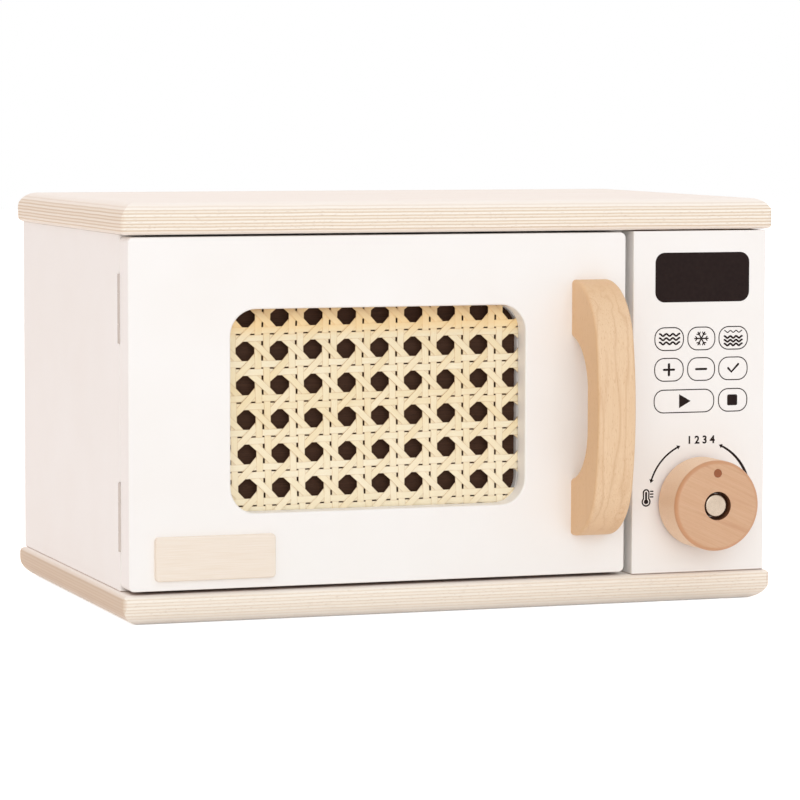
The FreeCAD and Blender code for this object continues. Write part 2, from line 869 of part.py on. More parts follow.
def leaf(spot_z, leaf_y, own_knuckles, other_knuckles, screw_turn, screw_spots):
    """One leaf with its knuckles. Knuckles are given as pairs of start and length."""
    lowest = f"({spot_z} - hinge_height / 2)"
    plate = block((hinge_x, leaf_y, lowest), "leaf_width", "leaf_thickness", "hinge_height")
    barrels = [
        rod((hinge_x, hinge_y, f"{lowest} + {start}"), "knuckle_radius", length)
        for start, length in own_knuckles
    ]
    reach = "(knuckle_radius + hinge_fit)"
    notches = [
        block(
            (f"{hinge_x} - {reach}", f"{hinge_y} - {reach}", f"{lowest} + {start} - knuckle_gap"),
            f"2 * {reach}",
            f"2 * {reach}",
            f"{length} + 2 * knuckle_gap",
        )
        for start, length in other_knuckles
    ]
    bore = rod((hinge_x, hinge_y, lowest), "pin_radius + pin_clearance", "hinge_height")
    holes = [screw("hinge_screw", spot, screw_turn, "hole_clearance") for spot in screw_spots]
    return cut(joined([plate] + barrels), notches + [bore] + holes)


end_knuckles = [("0", "knuckle_end"), ("hinge_height - knuckle_end", "knuckle_end")]
middle_knuckles = [("knuckle_end + knuckle_gap", "hinge_height - 2 * (knuckle_end + knuckle_gap)")]
for order, (hinge, hinge_z) in enumerate(hinge_middles.items()):
    side_spots = side_hinge_screws[2 * order:2 * order + 2]
    door_spots = door_hinge_screws[2 * order:2 * order + 2]
    named(
        leaf(hinge_z, side_leaf_y, end_knuckles, middle_knuckles, "back", side_spots),
        f"{hinge}_hinge_side_leaf",
    )
    named(
        leaf(hinge_z, door_leaf_y, middle_knuckles, end_knuckles, "front", door_spots),
        f"{hinge}_hinge_door_leaf",
    )
    pin_foot = (hinge_x, hinge_y, f"{hinge_z} - hinge_height / 2")
    named(rod(pin_foot, "pin_radius", "hinge_height"), f"{hinge}_hinge_pin")
named(grouped([screw("hinge_screw", spot, "back") for spot in side_hinge_screws]), "hinge_side_screws")
named(grouped([screw("hinge_screw", spot, "front") for spot in door_hinge_screws]), "hinge_door_screws")


# Knob: turned beech that spins on a bolt, between a felt washer and a spring washer

knob_back = f"({control_front} - felt_washer_thickness)"
knob_front = f"({knob_back} - knob_depth)"
counterbore_floor = f"({knob_front} + counterbore_depth)"
knob_bore = "bolt_radius + running_clearance"
knob_corners = [
    (knob_bore, "0"),
    ("knob_radius", "0"),
    ("knob_radius", "knob_depth"),
    ("counterbore_radius", "knob_depth"),
    ("counterbore_radius", "knob_depth - counterbore_depth"),
    (knob_bore, "knob_depth - counterbore_depth"),
]
knob_spot = (knob_x, knob_back, knob_z)
knob_body = turned("knob_turning", knob_corners, knob_spot, "front", "knob_edge_round")


def pointer(clearance="0"):
    spot = (knob_x, knob_front, f"{knob_z} + pointer_offset")
    return rod(spot, f"pointer_radius + {clearance}", "pointer_depth", "back")


named(cut(knob_body, [pointer("hole_clearance")]), "control_knob")
named(pointer(), "knob_pointer")

spring_washer_y = f"({counterbore_floor} - knob_play)"
bolt_seat = f"({spring_washer_y} - spring_washer_thickness)"
back_washer_y = casing_front
nut_y = f"({back_washer_y} + back_washer_thickness)"
bolt_end = f"({nut_y} + nut_thickness + bolt_tail)"
bolt_shank = f"({bolt_end} - {bolt_seat})"
bolt_corners = [
    ("0", "0"),
    ("bolt_radius", "0"),
    ("bolt_radius", bolt_shank),
    ("bolt_head_radius", bolt_shank),
    ("bolt_head_radius", f"{bolt_shank} + bolt_head_height"),
    ("0", f"{bolt_shank} + bolt_head_height"),
]
bolt = turned(
    "bolt_turning",
    bolt_corners,
    (knob_x, bolt_end, knob_z),
    "front",
    "bolt_head_round",
    top_only=True,
)
named(bolt, "knob_bolt")

washer_bore = "bolt_radius + running_clearance"
named(
    ring(
        (knob_x, bolt_seat, knob_z),
        "spring_washer_radius",
        washer_bore,
        "spring_washer_thickness",
        "back",
    ),
    "knob_spring_washer",
)
named(
    ring((knob_x, control_front, knob_z), "felt_washer_radius", washer_bore, "felt_washer_thickness", "front"),
    "knob_felt_washer",
)
named(
    ring((knob_x, back_washer_y, knob_z), "back_washer_radius", washer_bore, "back_washer_thickness", "back"),
    "knob_back_washer",
)
nut_blank = doc.addObject("Part::Prism", "Hexagon")
nut_blank.Polygon = 6
bind(nut_blank, Circumradius="nut_radius", Height="nut_thickness")
place(nut_blank, (knob_x, nut_y, knob_z), "back")
nut_bore = rod((knob_x, nut_y, knob_z), "bolt_radius + hole_clearance", "nut_thickness", "back")
named(cut(nut_blank, [nut_bore]), "knob_lock_nut")


# Turntable: a flat wooden disc on a spacer, with a round-headed screw in its recess

plate_bottom = f"({floor} + spacer_thickness)"
spindle_bore = "spindle_radius + running_clearance"
turntable_radius = f"(({back_front} - {casing_front}) / 2 - turntable_clearance)"
turntable_seat = "(turntable_thickness - turntable_recess_depth)"
turntable_corners = [
    (spindle_bore, "0"),
    (turntable_radius, "0"),
    (turntable_radius, "turntable_thickness"),
    ("turntable_recess_radius", "turntable_thickness"),
    ("turntable_recess_radius", turntable_seat),
    (spindle_bore, turntable_seat),
]
turntable_spot = (oven_x, oven_y, plate_bottom)
turntable = turned("turntable_turning", turntable_corners, turntable_spot, "up", "turntable_round")
named(turntable, "turntable_plate")
spacer_spot = (oven_x, oven_y, floor)
spacer_bore = "spindle_radius + running_clearance"
named(ring(spacer_spot, "spacer_radius", spacer_bore, "spacer_thickness", "up"), "turntable_spacer")

spindle_length = f"(spindle_in_board + spacer_thickness + {turntable_seat} + turntable_play)"
spindle_corners = [
    ("0", "0"),
    ("spindle_radius", "0"),
    ("spindle_radius", spindle_length),
    ("spindle_head_radius", spindle_length),
    ("spindle_head_radius", f"{spindle_length} + spindle_head_height"),
    ("0", f"{spindle_length} + spindle_head_height"),
]
spindle = turned(
    "spindle_turning",
    spindle_corners,
    spindle_foot,
    "up",
    "spindle_head_round",
    top_only=True,
)
named(spindle, "turntable_screw")


# Check every piece, then write each to its own file

doc.recompute()
faults = [thing.Label for thing in doc.Objects if {"Invalid", "Error"} & set(thing.State)]
faults += [piece.Label for piece in nodes if piece.Shape.isNull() or not piece.Shape.isValid()]
if faults:
    raise RuntimeError(f"pieces with faults: {faults}")
os.makedirs("parts", exist_ok=True)
for piece in nodes:
    piece.Shape.exportStep(f"parts/{piece.Label}.step")
    print(piece.Label, len(piece.Shape.Solids), round(piece.Shape.Volume, 1))
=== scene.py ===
import json
import math

import bpy
from mathutils import Euler, Matrix, Vector, noise


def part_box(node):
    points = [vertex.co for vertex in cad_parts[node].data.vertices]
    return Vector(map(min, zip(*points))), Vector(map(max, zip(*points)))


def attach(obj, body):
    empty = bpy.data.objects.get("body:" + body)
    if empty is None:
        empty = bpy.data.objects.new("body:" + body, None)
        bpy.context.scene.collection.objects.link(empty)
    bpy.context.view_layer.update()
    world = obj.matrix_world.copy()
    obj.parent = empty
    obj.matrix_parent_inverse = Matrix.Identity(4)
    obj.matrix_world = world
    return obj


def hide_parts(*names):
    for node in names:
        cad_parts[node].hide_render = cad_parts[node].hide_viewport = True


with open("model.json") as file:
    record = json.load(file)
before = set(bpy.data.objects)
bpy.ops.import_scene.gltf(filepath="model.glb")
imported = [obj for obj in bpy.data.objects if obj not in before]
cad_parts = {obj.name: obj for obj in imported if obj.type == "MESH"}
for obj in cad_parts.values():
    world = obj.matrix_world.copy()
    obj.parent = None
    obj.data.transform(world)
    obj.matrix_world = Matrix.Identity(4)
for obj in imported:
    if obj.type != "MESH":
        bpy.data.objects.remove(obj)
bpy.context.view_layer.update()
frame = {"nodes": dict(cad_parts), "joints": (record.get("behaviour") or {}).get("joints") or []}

# Bottom board
# A slab of pale plywood: thick tan plies between thin white ones, the outer edges rounded over by a router.
# It is sanded, sealed with matt lacquer, and screwed up into the casing from below.
MM = 0.001
board_low, board_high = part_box("bottom_board")
# Heights on the edge in millimetres: a pair of plies, its thin ply, a pale seam and a glue line.
ply_pair = 2.95
thin_ply = 1.05
seam_ply = 0.55
glue_line = 0.14
ply_waver = 0.5
waver_length = 22.0


def tone(red, green, blue):
    """A colour as it shows on a screen, 0 to 255 a channel, in linear light."""
    shares = [channel / 255 for channel in (red, green, blue)]
    return [s / 12.92 if s <= 0.04045 else ((s + 0.055) / 1.055) ** 2.4 for s in shares] + [1]


def put(tree, kind, inputs, **options):
    """Adds a shader node, sets its options, and gives each input a value or a link."""
    made = tree.nodes.new(kind)
    for option, value in options.items():
        setattr(made, option, value)
    for socket, value in inputs.items():
        if isinstance(value, bpy.types.NodeSocket):
            tree.links.new(value, made.inputs[socket])
        else:
            made.inputs[socket].default_value = value
    return made


def sum_of(tree, operation, *terms):
    """One step of arithmetic on numbers that change over the surface."""
    return put(tree, "ShaderNodeMath", dict(enumerate(terms)), operation=operation).outputs[0]


def between(tree, value, low, high, start=0.0, end=1.0):
    """Maps a value's stretch from low to high onto start to end, and holds it there outside the stretch."""
    inputs = {"Value": value, "From Min": low, "From Max": high, "To Min": start, "To Max": end}
    return put(tree, "ShaderNodeMapRange", inputs).outputs[0]


def blended(tree, share, first, second):
    """Two colours mixed by a share that changes over the surface."""
    return put(tree, "ShaderNodeMix", {0: share, 6: first, 7: second}, data_type="RGBA").outputs[2]


def drawn_out(tree, place, width, ratio, detail=2.0):
    """Noise that changes every width across the grain, and ratio times as slowly along it."""
    length = sum_of(tree, "MULTIPLY", width, ratio)
    size = put(tree, "ShaderNodeCombineXYZ", {0: length, 1: width, 2: width}).outputs[0]
    scaled = put(tree, "ShaderNodeVectorMath", {0: place, 1: size}, operation="DIVIDE").outputs[0]
    return put(tree, "ShaderNodeTexNoise", {"Vector": scaled, "Scale": 1.0, "Detail": detail}).outputs[0]


def axes_of(tree, vector):
    """The X, Y and Z of a vector that changes over the surface."""
    return put(tree, "ShaderNodeSeparateXYZ", {0: vector}).outputs


def facing(tree):
    """The X, Y and Z of the direction that the surface faces."""
    return axes_of(tree, put(tree, "ShaderNodeTexCoord", {}).outputs["Normal"])


def tinted(tree, colour, mask, strength, tint):
    """A colour with a tint laid over it where a mask shows."""
    return blended(tree, sum_of(tree, "MULTIPLY", mask, strength), colour, tint)


def new_finish(name):
    """An empty material, its node tree and its surface shader."""
    material = bpy.data.materials.new(name)
    material.use_nodes = True
    return material, material.node_tree, material.node_tree.nodes["Principled BSDF"]


def in_millimetres(tree, origin=(0, 0, 0), turn=(0, 0, 0)):
    """The place on the piece in millimetres from an origin, turned so that the grain runs along X."""
    spot = put(tree, "ShaderNodeTexCoord", {}).outputs["Object"]
    inputs = {"Vector": spot, "Location": [-x for x in origin], "Scale": (1 / MM,) * 3}
    moved = put(tree, "ShaderNodeMapping", inputs).outputs[0]
    return put(tree, "ShaderNodeMapping", {"Vector": moved, "Rotation": turn}).outputs[0]


def coated(tree, shader, colour, roughness):
    """Gives the surface its colour and its roughness."""
    tree.links.new(colour, shader.inputs["Base Color"])
    tree.links.new(roughness, shader.inputs["Roughness"])


def ridged(tree, shader, height, depth, strength=0.5):
    """Lets a pattern stand out of the surface by a depth in millimetres."""
    inputs = {"Height": height, "Distance": depth * MM, "Strength": strength}
    bump = put(tree, "ShaderNodeBump", inputs)
    tree.links.new(bump.outputs[0], shader.inputs["Normal"])


def dress(material, *names):
    """Gives its finish to pieces that keep their shape."""
    for name in names:
        for slot in frame["nodes"][name].material_slots:
            slot.material = material


def new_group(name, inputs, outputs):
    """An empty group of shader nodes with its sockets, and its two ends."""
    group = bpy.data.node_groups.new(name, "ShaderNodeTree")
    for label, kind in inputs:
        group.interface.new_socket(name=label, in_out="INPUT", socket_type=kind)
    for label in outputs:
        group.interface.new_socket(name=label, in_out="OUTPUT", socket_type="NodeSocketFloat")
    return group, group.nodes.new("NodeGroupInput").outputs, group.nodes.new("NodeGroupOutput").inputs


# Growth rings, fine fibres and short dark flecks of a sawn piece of wood, its grain along X.
# Their lengths along the grain are given in widths across it.
ring_length = 12
ring_sway = 2.2
ring_sharpness = 4.0
fibre_length = 45
fleck_length = 6
wood_figure, given, result = new_group(
    "wood_figure",
    [
        ("Place", "NodeSocketVector"),
        ("Ring Width", "NodeSocketFloat"),
        ("Fibre Width", "NodeSocketFloat"),
        ("Fleck Width", "NodeSocketFloat"),
    ],
    ["Rings", "Fibres", "Flecks"],
)
across = axes_of(wood_figure, given["Place"])[1]
ring_drift = drawn_out(wood_figure, given["Place"], given["Ring Width"], ring_length, 1.0)
ring_count = sum_of(wood_figure, "DIVIDE", across, given["Ring Width"])
ring_count = sum_of(wood_figure, "MULTIPLY_ADD", ring_drift, ring_sway, ring_count)
ring_share = sum_of(wood_figure, "MULTIPLY", sum_of(wood_figure, "PINGPONG", ring_count, 0.5), 2.0)
wood_figure.links.new(sum_of(wood_figure, "POWER", ring_share, ring_sharpness), result["Rings"])
fibre_field = drawn_out(wood_figure, given["Place"], given["Fibre Width"], fibre_length, 3.0)
wood_figure.links.new(fibre_field, result["Fibres"])
fleck_field = drawn_out(wood_figure, given["Place"], given["Fleck Width"], fleck_length, 1.0)
wood_figure.links.new(between(wood_figure, fleck_field, 0.62, 0.71), result["Flecks"])


def wood(tree, place, ring, fibre, fleck):
    """The rings, fibres and flecks of a piece, with their widths in millimetres."""
    inputs = {"Place": place, "Ring Width": ring, "Fibre Width": fibre, "Fleck Width": fleck}
    return put(tree, "ShaderNodeGroup", inputs, node_tree=wood_figure).outputs


def plywood(name, underside, painted_light, painted_end_shade):
    """Plywood with its plies flat, counted from an underside up.

    The painted light lightens its front and back edges and the painted end shade darkens its ends: light
    and shade painted by the way each face is turned.
    """
    material, tree, shader = new_finish(name)
    place = in_millimetres(tree, (0, 0, underside / MM))
    height = axes_of(tree, place)[2]
    facing_x, facing_y, facing_z = [sum_of(tree, "ABSOLUTE", share) for share in facing(tree)]
    _, fibres, flecks = wood(tree, place, ring=7.0, fibre=0.5, fleck=0.35)
    streak = between(tree, fibres, 0.3, 0.7)

    cloud = between(tree, drawn_out(tree, place, 9.0, 8, 2.0), 0.3, 0.7)
    veneer = blended(tree, streak, tone(252, 246, 239), tone(248, 238, 228))
    veneer = tinted(tree, veneer, cloud, 0.35, tone(247, 236, 225))

    drift = drawn_out(tree, place, waver_length, 1, 1.0)
    layer = sum_of(tree, "DIVIDE", sum_of(tree, "MULTIPLY_ADD", drift, ply_waver, height), ply_pair)
    to_thin = sum_of(tree, "MULTIPLY", sum_of(tree, "PINGPONG", layer, 0.5), ply_pair)
    to_seam = sum_of(tree, "SUBTRACT", ply_pair / 2, to_thin)
    to_glue = sum_of(tree, "ABSOLUTE", sum_of(tree, "SUBTRACT", to_thin, thin_ply * 0.62))
    thin = between(tree, to_thin, thin_ply * 0.35, thin_ply * 0.6, 1.0, 0.0)
    seam = between(tree, to_seam, seam_ply * 0.3, seam_ply, 0.85, 0.0)
    glue = between(tree, to_glue, glue_line * 0.4, glue_line * 1.3, 0.5, 0.0)
    ply_number = sum_of(tree, "FLOOR", layer)
    own = put(tree, "ShaderNodeTexWhiteNoise", {"W": ply_number}, noise_dimensions="1D").outputs["Value"]
    plies = blended(tree, streak, tone(235, 216, 193), tone(228, 207, 182))
    plies = tinted(tree, plies, own, 0.4, tone(227, 205, 180))
    plies = blended(tree, glue, plies, tone(202, 178, 154))
    plies = blended(tree, sum_of(tree, "MAXIMUM", thin, seam), plies, tone(252, 243, 230))
    # Painted light on the front and back edges and painted shade on the ends, set by the way each face is
    # turned.
    painted_light_share = between(tree, facing_y, 0.2, 0.9, 0.0, painted_light)
    plies = blended(tree, painted_light_share, plies, tone(253, 244, 232))
    painted_end_shade_share = between(tree, facing_x, 0.3, 0.9, 0.0, painted_end_shade)
    plies = blended(tree, painted_end_shade_share, plies, tone(212, 188, 163))
    plies = tinted(tree, plies, flecks, 0.3, tone(190, 162, 138))

    colour = blended(tree, between(tree, facing_z, 0.5, 0.92), plies, veneer)
    coated(tree, shader, colour, between(tree, fibres, 0.2, 0.8, 0.52, 0.66))
    shader.inputs["Specular IOR Level"].default_value = 0.3
    ridged(tree, shader, fibres, 0.04)
    return material


# The bottom board gets strong painted light on its front edge and painted shade on its ends.
dress(plywood("plywood_bottom", board_low.z, painted_light=0.4, painted_end_shade=0.8), "bottom_board")

# Bottom board screws
# Countersunk wood screws of zinc-plated steel with a cross recess, driven from below.
# Their heads lie sunk in the board's underside, and their shanks hold the upright panels.
rim_height = 0.25
point_length = 3.0
point_share = 0.15
screw_sides = 20
smooth_angle = 35
recess_reach = 0.62
recess_width = 0.24
recess_depth = 0.75

zinc_steel, tree, shader = new_finish("zinc_plated_steel")
place = in_millimetres(tree)
drawing = drawn_out(tree, place, 0.12, 20, 2.0)
stain = between(tree, drawn_out(tree, place, 3.0, 1, 3.0), 0.35, 0.7)
colour = blended(tree, stain, tone(214, 211, 206), tone(186, 182, 176))
coated(tree, shader, colour, between(tree, drawing, 0.3, 0.7, 0.26, 0.42))
shader.inputs["Metallic"].default_value = 1.0
ridged(tree, shader, drawing, 0.008, 0.3)


def countersunk_screw(head, shank, length):
    """One screw with its head's face at height 0 and its point down, sizes in millimetres."""
    bpy.ops.object.select_all(action="DESELECT")
    bpy.ops.mesh.primitive_circle_add(vertices=screw_sides, radius=head * MM, fill_type="NGON")
    screw = bpy.context.object
    bpy.ops.object.mode_set(mode="EDIT")
    cone = head - shank
    barrel = length - rim_height - cone - point_length
    for drop, share in ((rim_height, 1), (cone, shank / head), (barrel, 1), (point_length, point_share)):
        bpy.ops.mesh.extrude_region_move(TRANSFORM_OT_translate={"value": (0, 0, -drop * MM)})
        bpy.ops.transform.resize(value=(share, share, 1))
    bpy.ops.mesh.select_all(action="SELECT")
    bpy.ops.mesh.normals_make_consistent(inside=False)
    bpy.ops.object.mode_set(mode="OBJECT")
    for turn in (0, math.pi / 2):
        bpy.ops.mesh.primitive_cube_add(size=1, rotation=(0, 0, turn))
        cutter = bpy.context.object
        cutter.scale = (
            2 * recess_reach * head * MM,
            recess_width * head * MM,
            2 * recess_depth * cone * MM,
        )
        bite = screw.modifiers.new("recess", "BOOLEAN")
        bite.object = cutter
        bite.operation = "DIFFERENCE"
        bpy.context.view_layer.objects.active = screw
        bpy.ops.object.modifier_apply(modifier="recess")
        bpy.data.objects.remove(cutter)
    screw.select_set(True)
    bpy.ops.object.shade_smooth_by_angle(angle=math.radians(smooth_angle))
    screw.data.materials.append(zinc_steel)
    return screw


def spots_of(node, level_axis, reach):
    """Where the like pieces of a node stand: the middles of its corners, grouped within a reach."""
    groups = []
    for corner in frame["nodes"][node].data.vertices:
        spot = corner.co.copy()
        spot[level_axis] = 0
        near = next((group for group in groups if (group[0] - spot).length < reach * MM), None)
        if near:
            near.append(spot)
        else:
            groups.append([spot])
    middles = []
    for group in groups:
        ends = [[pick(spot[axis] for spot in group) for axis in range(3)] for pick in (min, max)]
        middles.append((Vector(ends[0]) + Vector(ends[1])) / 2)
    return middles


def joined(pieces, name):
    """Joins pieces into one and names it."""
    bpy.ops.object.select_all(action="DESELECT")
    for piece in pieces:
        piece.select_set(True)
    bpy.context.view_layer.objects.active = pieces[0]
    bpy.ops.object.join()
    bpy.context.object.name = name
    return bpy.context.object


def set_copies(pattern, name, node, body, level_axis, level, turn, reach):
    """Sets a copy of a pattern at each of a node's places and joins them into one piece."""
    copies = []
    for spot in spots_of(node, level_axis, reach):
        spot[level_axis] = level
        copy = bpy.data.objects.new(name, pattern.data.copy())
        copy.data.transform(Matrix.Translation(spot) @ Euler(turn).to_matrix().to_4x4())
        bpy.context.collection.objects.link(copy)
        copies.append(copy)
    bpy.data.objects.remove(pattern)
    piece = joined(copies, name)
    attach(piece, body)
    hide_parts(node)


head_down = (math.pi, 0, 0)
head_back = (-math.pi / 2, 0, 0)
head_front = (math.pi / 2, 0, 0)
set_copies(
    countersunk_screw(head=3.2, shank=1.7, length=40.0),
    "bottom_board_wood_screws",
    "bottom_board_screws",
    "casing",
    level_axis=2,
    level=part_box("bottom_board_screws")[0].z,
    turn=head_down,
    reach=9,
)

# Side panels and partition
# Upright boards painted a matt warm white; their ends against the plywood carry a brown painted shade.
# The two sides stand between the plywood boards, and the partition parts the oven from the controls.
# Painted shade: a brown that stands in for the shadow in the joints between the painted boards and the
# plywood.
joint_shade_tone = tone(150, 108, 80)
joint_shade_line = 0.4


def matt_white(name, shaded_ends):
    """Rolled matt paint. Faces turned down get a brown painted shade, and with shaded ends so do faces
    turned up and the foot.
    """
    material, tree, shader = new_finish(name)
    place = in_millimetres(tree)
    patch = between(tree, drawn_out(tree, place, 45.0, 1, 2.0), 0.3, 0.7)
    roller = drawn_out(tree, place, 1.1, 1, 3.0)
    colour = blended(tree, patch, tone(249, 246, 243), tone(247, 243, 239))
    facing_z = facing(tree)[2]
    shaded_face = sum_of(tree, "MULTIPLY", facing_z, -1.0)
    if shaded_ends:
        shaded_face = sum_of(tree, "ABSOLUTE", facing_z)
        # Painted shade: a thin brown line along the foot of each panel, where it meets the bottom board.
        over_board = sum_of(tree, "SUBTRACT", axes_of(tree, place)[2], board_high.z / MM)
        foot = between(tree, over_board, joint_shade_line / 2, joint_shade_line, 0.8, 0.0)
        colour = blended(tree, foot, colour, joint_shade_tone)
    # Painted shade on the faces turned down, and with shaded ends also on the faces turned up.
    colour = blended(tree, between(tree, shaded_face, 0.9, 0.98), colour, joint_shade_tone)
    coated(tree, shader, colour, between(tree, roller, 0.3, 0.7, 0.5, 0.62))
    ridged(tree, shader, roller, 0.02, 0.25)
    return material


white_paint = matt_white("white_paint", shaded_ends=True)
dress(white_paint, "left_side_panel", "right_side_panel", "partition_panel")

# Top board and its dowels
# The same plywood as below, glued down over fluted beech dowels that stand in the uprights.
# No fixing shows on its face, where the birch veneer runs from side to side.
top_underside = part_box("top_board")[0].z
# The top board gets no painted light and only a little painted shade on its ends.
dress(plywood("plywood_top", top_underside, painted_light=0.0, painted_end_shade=0.12), "top_board")


def beech(name, turn, pale, deep, ring_tone, ring=3.4, origin=(0, 0, 0), side_shade=None):
    """Sawn beech, sealed matt: faint rings, fine fibres and the short brown flecks of its rays.

    The side shade is a darker tone on the faces which look away from the front: partly the other cut of the
    grain, partly painted shade.
    """
    material, tree, shader = new_finish(name)
    place = in_millimetres(tree, origin, turn)
    rings, fibres, flecks = wood(tree, place, ring, fibre=0.45, fleck=0.42)
    cloud = between(tree, drawn_out(tree, place, 6.0, 7, 2.0), 0.3, 0.7)
    colour = blended(tree, between(tree, fibres, 0.3, 0.72), pale, deep)
    colour = tinted(tree, colour, cloud, 0.3, deep)
    colour = tinted(tree, colour, rings, 0.38, ring_tone)
    # Painted shade, partly the grain: faces that look sideways are tinted darker.
    if side_shade:
        to_face = sum_of(tree, "ABSOLUTE", facing(tree)[1])
        colour = blended(tree, between(tree, to_face, 0.25, 0.9, 0.8, 0.0), colour, side_shade)
    colour = tinted(tree, colour, flecks, 0.42, ring_tone)
    coated(tree, shader, colour, between(tree, fibres, 0.2, 0.8, 0.4, 0.56))
    ridged(tree, shader, fibres, 0.04)
    return material


grain_up = (0, math.pi / 2, 0)
dowel_beech = beech(
    "dowel_beech",
    grain_up,
    pale=tone(232, 203, 168),
    deep=tone(218, 182, 142),
    ring_tone=tone(190, 148, 108),
)
dress(dowel_beech, "top_board_dowels")

# Back panel and its screws
# A thinner painted board let into rebates of the sides, held by small countersunk screws.
# It closes the casing, and comes off to reach the nut of the knob's bolt.
dress(white_paint, "back_panel")
set_copies(
    countersunk_screw(head=2.5, shank=1.3, length=20.0),
    "back_panel_wood_screws",
    "back_panel_screws",
    "casing",
    level_axis=1,
    level=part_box("back_panel_screws")[1].y,
    turn=head_back,
    reach=6,
)

# Control panel and its print
# A painted board beside the door, screen-printed in one dark brown ink: a display, eight keys and a dial.
# The signs are lines and filled shapes a few hundredths of a millimetre thick on the paint.
panel_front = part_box("control_panel")[0].y
dress(white_paint, "control_panel")
ink_share = 0.12
key_line = 0.58
sign_line = 0.9
bold_line = 1.2
line_ends = (0.5, 0.85, 0.99)
wave_count = 3
wave_steps = 48
display_middle = (122.2, 152.5)
key_height = 10.6
key_corner = 4.7
key_rows = (123.85, 109.55, 94.75)
key_columns = (105.6, 121.9, 138.1)
key_widths = (14.4, 13.7, 14.5)
start_key_middle = 113.35
start_key_width = 30.2

printing_ink, tree, shader = new_finish("printing_ink")
place = in_millimetres(tree)
mottle = between(tree, drawn_out(tree, place, 1.6, 1, 3.0), 0.3, 0.7)
colour = blended(tree, mottle, tone(38, 28, 27), tone(43, 33, 31))
coated(tree, shader, colour, between(tree, mottle, 0.0, 1.0, 0.45, 0.55))
shader.inputs["Specular IOR Level"].default_value = 0.05
printed = []


def as_print(sign):
    """Makes a mesh of a sign and keeps it for the print."""
    bpy.ops.object.select_all(action="DESELECT")
    bpy.context.collection.objects.link(sign)
    sign.select_set(True)
    bpy.context.view_layer.objects.active = sign
    bpy.ops.object.convert(target="MESH")
    bpy.ops.object.transform_apply(location=True, rotation=True, scale=True)
    printed.append(bpy.context.object)


def ink_line(points, width, closed=False, swell=1.0):
    """A printed line through points on the panel's face, with round ends. It swells toward its last end."""
    last = len(points) - 1
    stations = [(Vector(point), 1 + (swell - 1) * step / last) for step, point in enumerate(points)]
    if not closed:
        for end, step in ((0, 1), (-1, -2)):
            tip, tip_share = stations[0] if end == 0 else (Vector(points[end]), swell)
            outward = (tip - Vector(points[step])).normalized() * width / 2 * tip_share
            cap = [(tip + outward * s, tip_share * math.sqrt(1 - s * s)) for s in line_ends]
            stations = cap[::-1] + stations if end == 0 else stations + cap
    curve = bpy.data.curves.new("ink_line", "CURVE")
    curve.dimensions = "3D"
    spline = curve.splines.new("POLY")
    spline.points.add(len(stations) - 1)
    for point, (spot, radius) in zip(spline.points, stations):
        point.co = (spot.x * MM, 0, spot.y * MM, 1)
        point.radius = radius
    spline.use_cyclic_u = closed
    curve.bevel_depth = width / 2 * MM
    curve.bevel_resolution = 1
    curve.use_fill_caps = not closed
    as_print(bpy.data.objects.new("ink_line", curve))


def ink_patch(points):
    """A printed filled shape with these corners on the panel's face."""
    curve = bpy.data.curves.new("ink_patch", "CURVE")
    curve.dimensions = "2D"
    curve.fill_mode = "BOTH"
    curve.extrude = sign_line / 2 * MM
    spline = curve.splines.new("POLY")
    spline.points.add(len(points) - 1)
    for point, (x, z) in zip(spline.points, points):
        point.co = (x * MM, z * MM, 0, 1)
    spline.use_cyclic_u = True
    patch = bpy.data.objects.new("ink_patch", curve)
    patch.rotation_euler = (math.pi / 2, 0, 0)
    as_print(patch)


def arc(middle, radius, start, end, steps):
    """Points on an arc, from one angle to another in degrees."""
    angles = [math.radians(start + (end - start) * step / steps) for step in range(steps + 1)]
    return [(middle[0] + radius * math.cos(a), middle[1] + radius * math.sin(a)) for a in angles]


def rounded_box(middle, width, height, corner, steps=8):
    """Corner points of a rectangle with round corners."""
    reach_x, reach_z = width / 2 - corner, height / 2 - corner
    points = []
    for start, side_x, side_z in ((0, 1, 1), (90, -1, 1), (180, -1, -1), (270, 1, -1)):
        centre = (middle[0] + side_x * reach_x, middle[1] + side_z * reach_z)
        points += arc(centre, corner, start, start + 90, steps)
    return points


def waves(middle, width, height, line):
    """One wavy line that starts and ends high."""
    points = []
    for step in range(wave_steps + 1):
        share = step / wave_steps
        x = middle[0] + (share - 0.5) * width
        points.append((x, middle[1] + height / 2 * math.cos(share * 2 * wave_count * math.pi)))
    ink_line(points, line)


# The display: a filled panel with round corners.
ink_patch(rounded_box(display_middle, width=47.5, height=23.1, corner=4.7))

# The outlines of the eight keys.
key_boxes = [
    (column, row, width)
    for row in key_rows[:2]
    for column, width in zip(key_columns, key_widths)
]
key_boxes.append((start_key_middle, key_rows[2], start_key_width))
key_boxes.append((key_columns[2], key_rows[2], key_widths[2]))
for column, row, width in key_boxes:
    ink_line(rounded_box((column, row), width, key_height, key_corner), key_line, closed=True)

